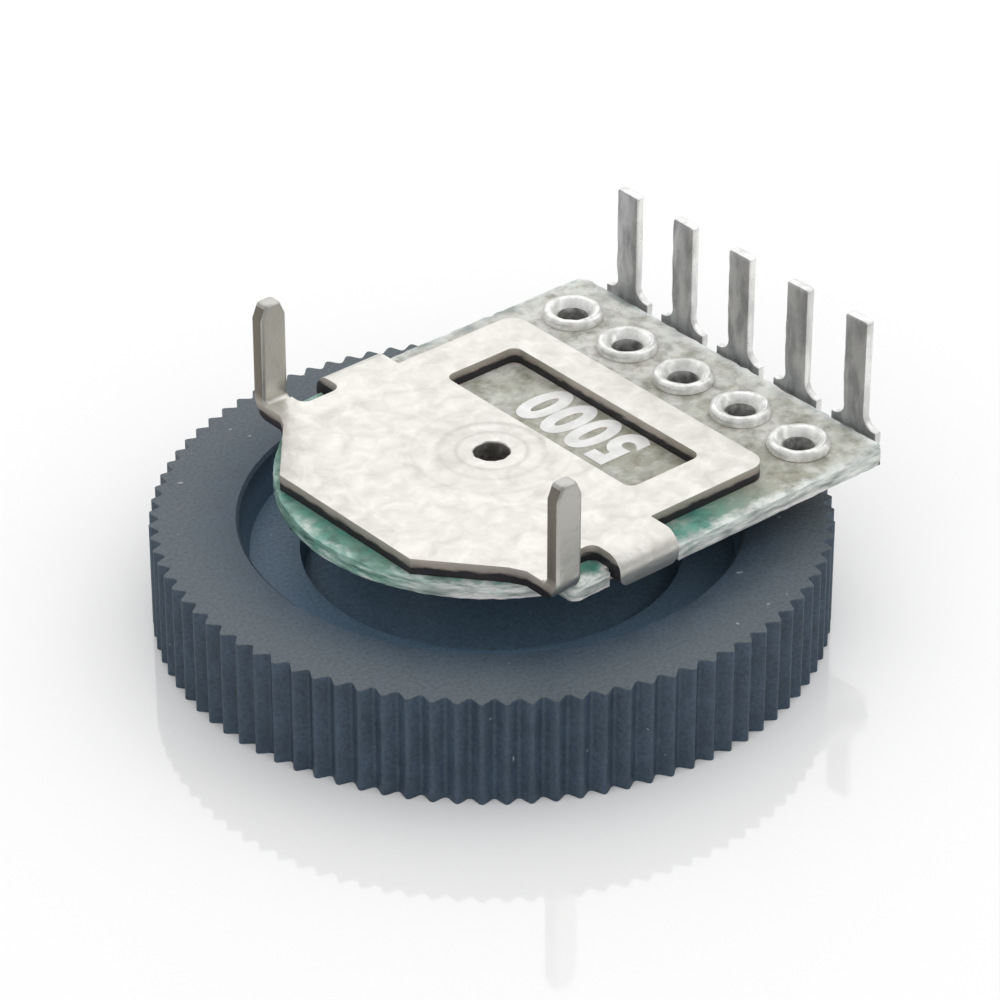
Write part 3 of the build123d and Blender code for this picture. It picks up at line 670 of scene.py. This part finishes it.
def fillOutline(bm, level):  # leaves only the outline of the face at this level, filled and cut into cells
    outline = {
        e for e in bm.edges
        if sharper(e, boardValues["outlineTurn"])
        and all(abs(v.co.z - level) < meshValues["same"] for v in e.verts)
    }
    bmesh.ops.delete(bm, geom=bm.faces[:], context="FACES_ONLY")
    bmesh.ops.delete(bm, geom=[e for e in bm.edges if e not in outline], context="EDGES")
    bmesh.ops.triangle_fill(bm, use_beauty=True, use_dissolve=False, edges=bm.edges[:], normal=(0, 0, 1))
    for axis in (0, 1):
        cutGrid(bm, axis, boardValues["cell"])


def markRim(bm, layer):  # 1 at the punched outline, falling to 0 inwards, and 0 round the holes
    eyelets = [sum(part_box(f"eyelet_{number}"), Vector()).xy / 2 / mm for number in range(1, 6)]
    holes = [Vector((0, 0)), *eyelets]
    rimPoints = [
        v.co.copy() for v in bm.verts
        if v.is_boundary and all((v.co.xy - hole).length > boardValues["holeReach"] for hole in holes)
    ]
    tree = kdtree.KDTree(len(rimPoints))
    for index, point in enumerate(rimPoints):
        tree.insert(point, index)
    tree.balance()
    for vert in bm.verts:
        vert[layer] = max(0.0, 1.0 - tree.find(vert.co)[2] / boardValues["rimWidth"])


def wallsTaller(bm, height):
    return [f for f in bm.faces if max(v.co.z for v in f.verts) - min(v.co.z for v in f.verts) > height]


def cutWalls(bm, low, high):  # cuts the walls into rows
    walls = wallsTaller(bm, boardValues["wall"])
    for number in range(1, boardValues["rows"]):
        level = low + (high - low) * number / boardValues["rows"]
        cuts = list({g for f in walls if f.is_valid for g in (f, *f.edges, *f.verts)})
        bmesh.ops.bisect_plane(
            bm, geom=cuts, dist=meshValues["same"], plane_co=(0, 0, level), plane_no=(0, 0, 1)
        )
        walls = wallsTaller(bm, boardValues["cutWall"])


def tearRim(bm, layer, high):  # ragged inwards layer by layer, and a little lower at the top
    moves = []
    for vert in bm.verts:
        if vert[layer] <= 0:
            continue
        sample = Vector((vert.co.x, vert.co.y, vert.co.z * boardValues["layers"])) / boardValues["fraySize"]
        ragged = raggedAt(sample)
        sides = [f.normal for f in vert.link_faces if abs(f.normal.z) < boardValues["sideLimit"]]
        outward = sum(sides, Vector())
        if outward.length > boardValues["leastSide"]:
            moves.append((vert, outward.normalized() * -boardValues["fray"] * ragged))
        if abs(vert.co.z - high) < meshValues["same"]:
            moves.append((vert, Vector((0, 0, -boardValues["sag"] * ragged * vert[layer] ** 2))))
    for vert, move in moves:
        vert.co += move


def makeBoard():
    low, high = (corner.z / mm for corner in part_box("resistor_board"))
    bm = cadCopy("resistor_board")
    bm.normal_update()
    fillOutline(bm, high)
    layer = bm.verts.layers.float.new("rim")
    markRim(bm, layer)
    lower = bmesh.ops.extrude_face_region(bm, geom=bm.faces[:])["geom"]
    lowered = [g for g in lower if isinstance(g, bmesh.types.BMVert)]
    bmesh.ops.translate(bm, vec=(0, 0, low - high), verts=lowered)
    cutWalls(bm, low, high)
    bmesh.ops.recalc_face_normals(bm, faces=bm.faces[:])
    bm.normal_update()
    tearRim(bm, layer, high)
    finishPiece("boardPanel", bm, [glassEpoxy()], "frame", ["resistor_board"])


# Pivot rivet, staked out to the plate, with a ragged mouth
rivetValues = {
    "mouthRadius": 0.05, "mouthSegments": 3, "edgeRadius": 0.02, "edgeSegments": 2, "boreRadius": 0.5,
    "stakeRadius": 0.6, "boreTop": 0.05, "spread": 0.009, "burr": 0.05, "burrSize": 0.13, "flangeTop": 1.0,
    "sharpest": 57,
}


def makeRivet(plate):
    bm = cadCopy("pivot_rivet")
    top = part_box("pivot_rivet")[1].z / mm
    bore = rivetValues["boreRadius"]
    mouth = [
        e for e in bm.edges
        if all(abs(v.co.z - top) < meshValues["near"] and v.co.xy.length < bore for v in e.verts)
    ]
    bevelEdges(bm, mouth, rivetValues["mouthRadius"], rivetValues["mouthSegments"])
    for vert in bm.verts:
        if vert.co.z < top - rivetValues["mouthRadius"] - meshValues["near"]:
            continue
        outward = Vector((vert.co.x, vert.co.y, 0)).normalized()
        if vert.co.xy.length > rivetValues["stakeRadius"]:
            vert.co += outward * rivetValues["spread"]
        else:
            ragged = raggedAt(vert.co / rivetValues["burrSize"])
            vert.co -= outward * rivetValues["burr"] * ragged
    flange = [
        e for e in bm.edges
        if sharper(e, rivetValues["sharpest"]) and all(v.co.z < rivetValues["flangeTop"] for v in e.verts)
    ]
    bevelEdges(bm, flange, rivetValues["edgeRadius"], rivetValues["edgeSegments"])
    bm.normal_update()
    for face in bm.faces:
        middle = face.calc_center_median()
        between = rivetValues["flangeTop"] < middle.z < top - rivetValues["boreTop"]
        face.material_index = 1 if between and middle.xy.length < bore else 0
    materials = [plate, oxidisedBore("rivetBore")]
    finishPiece("rivetTube", bm, materials, "frame", ["pivot_rivet"])


# Eyelets, with slightly uneven rolled lips
eyeletValues = {
    "radius": 0.03, "segments": 2, "sharpest": 40, "lip": 0.025, "lipSize": 0.3, "lipFrom": 0.02,
    "boreTop": 0.02, "boreRadius": 0.4,
}


def makeEyelet(number, materials):
    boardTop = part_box("resistor_board")[1].z / mm
    bm = cadCopy(f"eyelet_{number}")
    softenEdges(bm, eyeletValues["radius"], eyeletValues["segments"], eyeletValues["sharpest"])
    middle = (sum(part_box(f"eyelet_{number}"), Vector()) / 2 / mm).xy
    bm.normal_update()
    for face in bm.faces:
        centre = face.calc_center_median()
        inside = (centre.xy - middle).length < eyeletValues["boreRadius"]
        face.material_index = 1 if inside and centre.z < boardTop + eyeletValues["boreTop"] else 0
    for vert in bm.verts:
        if vert.co.z > boardTop + eyeletValues["lipFrom"]:
            vert.co += vert.normal * eyeletValues["lip"] * noise.noise(vert.co / eyeletValues["lipSize"])
    finishPiece(f"eyeletRoll_{number}", bm, materials, "frame", [f"eyelet_{number}"])


# Terminals, with an uneven coat of tin on the pins: thinner outside, where the pins end at the wheel's rim
pinValues = {
    "radius": 0.04, "segments": 2, "sharpest": 30, "cell": 0.12, "front": 0.6, "tinFrom": 0.1,
    "tinFade": 0.6, "tinSize": 0.35, "tinOuter": 0.028, "tinInner": 0.06, "tinEven": 0.7, "tinUneven": 0.3,
}


def makePin(number, materials):
    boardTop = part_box("resistor_board")[1].z / mm
    bm = cadCopy(f"terminal_{number}")
    softenEdges(bm, pinValues["radius"], pinValues["segments"], pinValues["sharpest"])
    cutGrid(bm, 2, pinValues["cell"])
    bm.normal_update()
    # sides and tips take the lighter tin as a painted highlight, the broad faces the darker one
    for face in bm.faces:
        face.material_index = 0 if abs(face.normal.x) > pinValues["front"] else 1
    for vert in bm.verts:
        rise = (vert.co.z - boardTop - pinValues["tinFrom"]) / pinValues["tinFade"]
        uneven = pinValues["tinUneven"] * noise.noise(vert.co / pinValues["tinSize"])
        thick = min(1.0, max(0.0, rise)) * (pinValues["tinEven"] + uneven)
        coat = pinValues["tinOuter"] if vert.normal.x > 0 else pinValues["tinInner"]
        vert.co += Vector((vert.normal.x, vert.normal.y, 0)) * coat * thick
    finishPiece(f"pinStrip_{number}", bm, materials, "frame", [f"terminal_{number}"])


def makeSolderRow():
    eyeletMaterials = [dippedTin("eyeletTin"), oxidisedBore("eyeletBore")]
    pinMaterials = [dippedTin("pinFrontTin"), dippedTin("pinSideTinPaintedHighlight")]
    for number in range(1, 6):
        makeEyelet(number, eyeletMaterials)
        makePin(number, pinMaterials)


# Wipers
wiperValues = {"edgeRadius": 0.02, "segments": 2, "sharpest": 30}


def makeWipers():
    strip = springStrip()
    for node, name in (("outer_wiper", "outerWiperStrip"), ("inner_wiper", "innerWiperStrip")):
        bm = cadCopy(node)
        softenEdges(bm, wiperValues["edgeRadius"], wiperValues["segments"], wiperValues["sharpest"])
        finishPiece(name, bm, [strip], "wheel", [node])


# Printed tracks keep their CAD shape
trackInks = {
    "outer_resistor_track": "carbonInk", "inner_resistor_track": "carbonInk",
    "outer_collector_track": "silverInk", "inner_collector_track": "silverInk", "end_conductors": "silverInk",
}


def dressTracks():
    inks = {name: printedInk(name) for name in ("carbonInk", "silverInk")}
    for node, ink in trackInks.items():
        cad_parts[node].material_slots[0].material = inks[ink]
    print("dressed", len(trackInks), "printed tracks")


# Plain number printed on the board, seen through the window
numberValues = {
    "text": "5000", "length": 3.4, "height": 1.62, "thickness": 0.012, "middle": (2.72, -0.02), "turn": 90,
    "bold": 0.045, "spacing": 1.08, "depth": 0.01, "merge": 0.0001,
}


def numberMesh():  # the text as a flat mesh at the size that the font gives
    curve = bpy.data.curves.new("numberCurve", "FONT")
    curve.body = numberValues["text"]
    curve.offset = numberValues["bold"]
    curve.extrude = numberValues["depth"]
    curve.space_character = numberValues["spacing"]
    shaped = bpy.data.objects.new("numberCurve", curve)
    scene.collection.objects.link(shaped)
    bpy.context.view_layer.update()
    mesh = bpy.data.meshes.new_from_object(shaped.evaluated_get(bpy.context.evaluated_depsgraph_get()))
    bpy.data.objects.remove(shaped)
    return mesh


def makeNumber():
    bm = bmesh.new()
    bm.from_mesh(numberMesh())
    bmesh.ops.remove_doubles(bm, verts=bm.verts, dist=numberValues["merge"])
    low = Vector([min(v.co[i] for v in bm.verts) for i in range(3)])
    high = Vector([max(v.co[i] for v in bm.verts) for i in range(3)])
    bmesh.ops.translate(bm, vec=-(low + high) / 2, verts=bm.verts)
    wanted = (numberValues["length"], numberValues["height"], numberValues["thickness"])
    bmesh.ops.scale(bm, vec=[new / old for new, old in zip(wanted, high - low)], verts=bm.verts)
    turn = Matrix.Rotation(math.radians(numberValues["turn"]), 3, "Z")
    bmesh.ops.rotate(bm, cent=(0, 0, 0), matrix=turn, verts=bm.verts)
    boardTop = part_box("resistor_board")[1].z / mm
    middle = Vector((*numberValues["middle"], boardTop + numberValues["thickness"] / 2))
    bmesh.ops.translate(bm, vec=middle, verts=bm.verts)
    finishPiece("printedNumber", bm, [printedInk("markingInk")], "frame")


dullNickel = nickelPlate()
makeWheel()
makeBracket(dullNickel)
makeBoard()
makeRivet(dullNickel)
makeSolderRow()
makeWipers()
dressTracks()
makeNumber()


# Floor: white glossy acrylic that keeps a soft shadow and a faint reflection
floorValues = {
    "size": 3000.0, "level": -0.01, "seen": "#F4F4F4", "lit": "#E8E8E7", "roughness": 0.05,
    "specular": 0.8, "glow": 0.02,
}


def whiteAcrylic():
    surface = {
        "Roughness": floorValues["roughness"], "Specular IOR Level": floorValues["specular"],
        "Emission Color": linear("#FFFFFF"),
    }
    material, tree, shader = startMaterial("whiteAcrylic", surface)[:3]
    rays = addNode(tree, "ShaderNodeLightPath")
    colour = addNode(
        tree, "ShaderNodeMix",
        {"data_type": "RGBA", "A": linear(floorValues["lit"]), "B": linear(floorValues["seen"])},
        {"Factor": rays.outputs["Is Camera Ray"]},
    )
    glow = addNode(
        tree, "ShaderNodeMath", {"operation": "MULTIPLY", 1: floorValues["glow"]},
        {0: rays.outputs["Is Camera Ray"]},
    )
    joinSockets(tree, shader, {"Base Color": colour, "Emission Strength": glow})
    return material


def makeFloor():
    bm = bmesh.new()
    bmesh.ops.create_grid(bm, x_segments=1, y_segments=1, size=floorValues["size"] * mm / 2)
    bmesh.ops.translate(bm, vec=(0, 0, floorValues["level"] * mm), verts=bm.verts)
    mesh = bpy.data.meshes.new("floor")
    bm.to_mesh(mesh)
    bm.free()
    floor = bpy.data.objects.new("floor", mesh)
    scene.collection.objects.link(floor)
    mesh.materials.append(whiteAcrylic())
    print("floor laid")


# Light: a large soft panel behind and above, a weaker one from the right, and a pale room, brighter in front
lightValues = {
    "panels": [
        {
            "name": "backPanel", "azimuth": 48, "elevation": 46, "distance": 400, "size": 600,
            "radiance": 0.64, "edge": 52, "core": 22,
        },
        {
            "name": "rightPanel", "azimuth": -32, "elevation": 38, "distance": 400, "size": 300,
            "radiance": 0.6, "edge": 32, "core": 12,
        },
    ],
    "front": (-0.62, -0.71, 0.34), "frontReach": (0.35, 0.95), "diffuse": (0.58, 1.58),
    "behind": (-0.65, -0.75, 0.1), "behindReach": (-0.1, 0.8), "mirrored": (0.62, 0.4), "seen": 1.0,
}


def panelDirection(panel):
    a, e = math.radians(panel["azimuth"]), math.radians(panel["elevation"])
    return Vector((math.cos(a) * math.cos(e), math.sin(a) * math.cos(e), math.sin(e)))


def makePanel(panel):
    lamp = bpy.data.lights.new(panel["name"], "AREA")
    lamp.shape = "SQUARE"
    lamp.size = panel["size"] * mm
    lamp.energy = panel["radiance"] * math.pi * lamp.size ** 2
    towards = panelDirection(panel)
    holder = bpy.data.objects.new(panel["name"], lamp)
    holder.visible_glossy = False
    holder.location = towards * panel["distance"] * mm
    holder.rotation_euler = towards.to_track_quat("Z", "Y").to_euler()
    scene.collection.objects.link(holder)


def makeRoom():
    world = bpy.data.worlds.new("paleRoom")
    world.use_nodes = True
    scene.world = world
    tree = world.node_tree
    tree.nodes.clear()
    rays = addNode(tree, "ShaderNodeLightPath")
    direction = addNode(tree, "ShaderNodeTexCoord").outputs["Generated"]
    behind = addNode(
        tree, "ShaderNodeVectorMath", {"operation": "DOT_PRODUCT", 1: lightValues["behind"]}, {0: direction}
    )
    mirrored = addNode(
        tree, "ShaderNodeMapRange", {"reads": lightValues["behindReach"], "gives": lightValues["mirrored"]},
        {"Value": behind},
    )
    for panel in lightValues["panels"]:  # glossy surfaces see each panel as a soft glow of the same strength
        near = addNode(
            tree, "ShaderNodeVectorMath", {"operation": "DOT_PRODUCT", 1: panelDirection(panel)},
            {0: direction},
        )
        fade = [math.cos(math.radians(panel[end])) for end in ("edge", "core")]
        glow = addNode(
            tree, "ShaderNodeMapRange",
            {"interpolation_type": "SMOOTHSTEP", "reads": fade, "gives": (0, panel["radiance"])},
            {"Value": near},
        )
        mirrored = addNode(tree, "ShaderNodeMath", {"operation": "ADD"}, {0: mirrored, 1: glow})
    inFront = addNode(
        tree, "ShaderNodeVectorMath", {"operation": "DOT_PRODUCT", 1: lightValues["front"]}, {0: direction}
    )
    diffuse = addNode(
        tree, "ShaderNodeMapRange", {"reads": lightValues["frontReach"], "gives": lightValues["diffuse"]},
        {"Value": inFront},
    )
    onObject = addNode(
        tree, "ShaderNodeMix", {"data_type": "FLOAT"},
        {"Factor": rays.outputs["Is Glossy Ray"], "A": diffuse, "B": mirrored},
    )
    strength = addNode(
        tree, "ShaderNodeMix", {"data_type": "FLOAT", "B": lightValues["seen"]},
        {"Factor": rays.outputs["Is Camera Ray"], "A": onObject},
    )
    sky = addNode(tree, "ShaderNodeBackground", {"Color": linear("#FFFFFF")}, {"Strength": strength})
    addNode(tree, "ShaderNodeOutputWorld", {}, {"Surface": sky})


def makeLights():
    for panel in lightValues["panels"]:
        makePanel(panel)
    makeRoom()
    print("lit by", len(lightValues["panels"]), "panels and a pale room")


# Camera: where the photograph was taken from, turned to the object's middle, with a longer lens
cameraValues = {
    "place": (-61.917, -72.784, 62.687), "lookAt": (0.25, 0.0, 2.9), "lens": 174.0, "sensor": 36.0,
    "clipStart": 1.0,
}


def makeCamera():
    data = bpy.data.cameras.new("camera")
    data.lens = cameraValues["lens"]
    data.sensor_width = cameraValues["sensor"]
    data.clip_start = cameraValues["clipStart"] * mm
    camera = bpy.data.objects.new("camera", data)
    camera.location = Vector(cameraValues["place"]) * mm
    gaze = Vector(cameraValues["lookAt"]) - Vector(cameraValues["place"])
    camera.rotation_euler = gaze.to_track_quat("-Z", "Y").to_euler()
    scene.collection.objects.link(camera)
    scene.camera = camera
    print("camera set")


makeFloor()
makeLights()
makeCamera()
